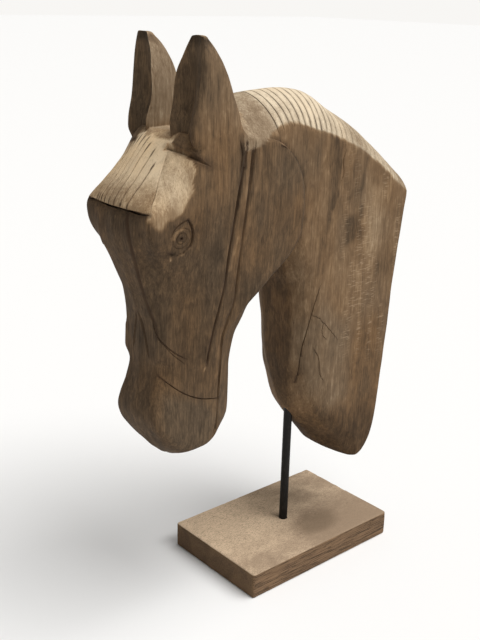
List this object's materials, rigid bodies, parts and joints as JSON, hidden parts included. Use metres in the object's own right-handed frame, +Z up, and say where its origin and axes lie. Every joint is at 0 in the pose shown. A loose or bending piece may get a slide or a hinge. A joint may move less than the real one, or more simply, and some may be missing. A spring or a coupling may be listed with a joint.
{
  "type": "carved wooden horse head on a stand",
  "caption": "Carved driftwood horse head with upright ears, grooved forelock and mane, on a thin iron rod and a rectangular wooden plinth.",
  "frame": {"origin": "centre of the plinth's underside, below the rod", "axes": "+Z up, the horse looks along -Y, its left side is +X"},
  "size_m": [0.141, 0.3737, 0.5985],
  "materials": {
    "weathered_carved_wood": "weathered grey-brown carved wood, dry and unvarnished, darker in the carved lines",
    "blackened_iron": "matt black iron rod",
    "plinth_wood": "pale dry wood with fine straight grain along its length"
  },
  "bodies": {
    "root": {"carved_horse_head": "weathered_carved_wood", "stand_rod": "blackened_iron", "plinth": "plinth_wood"}
  },
  "joints": []
}
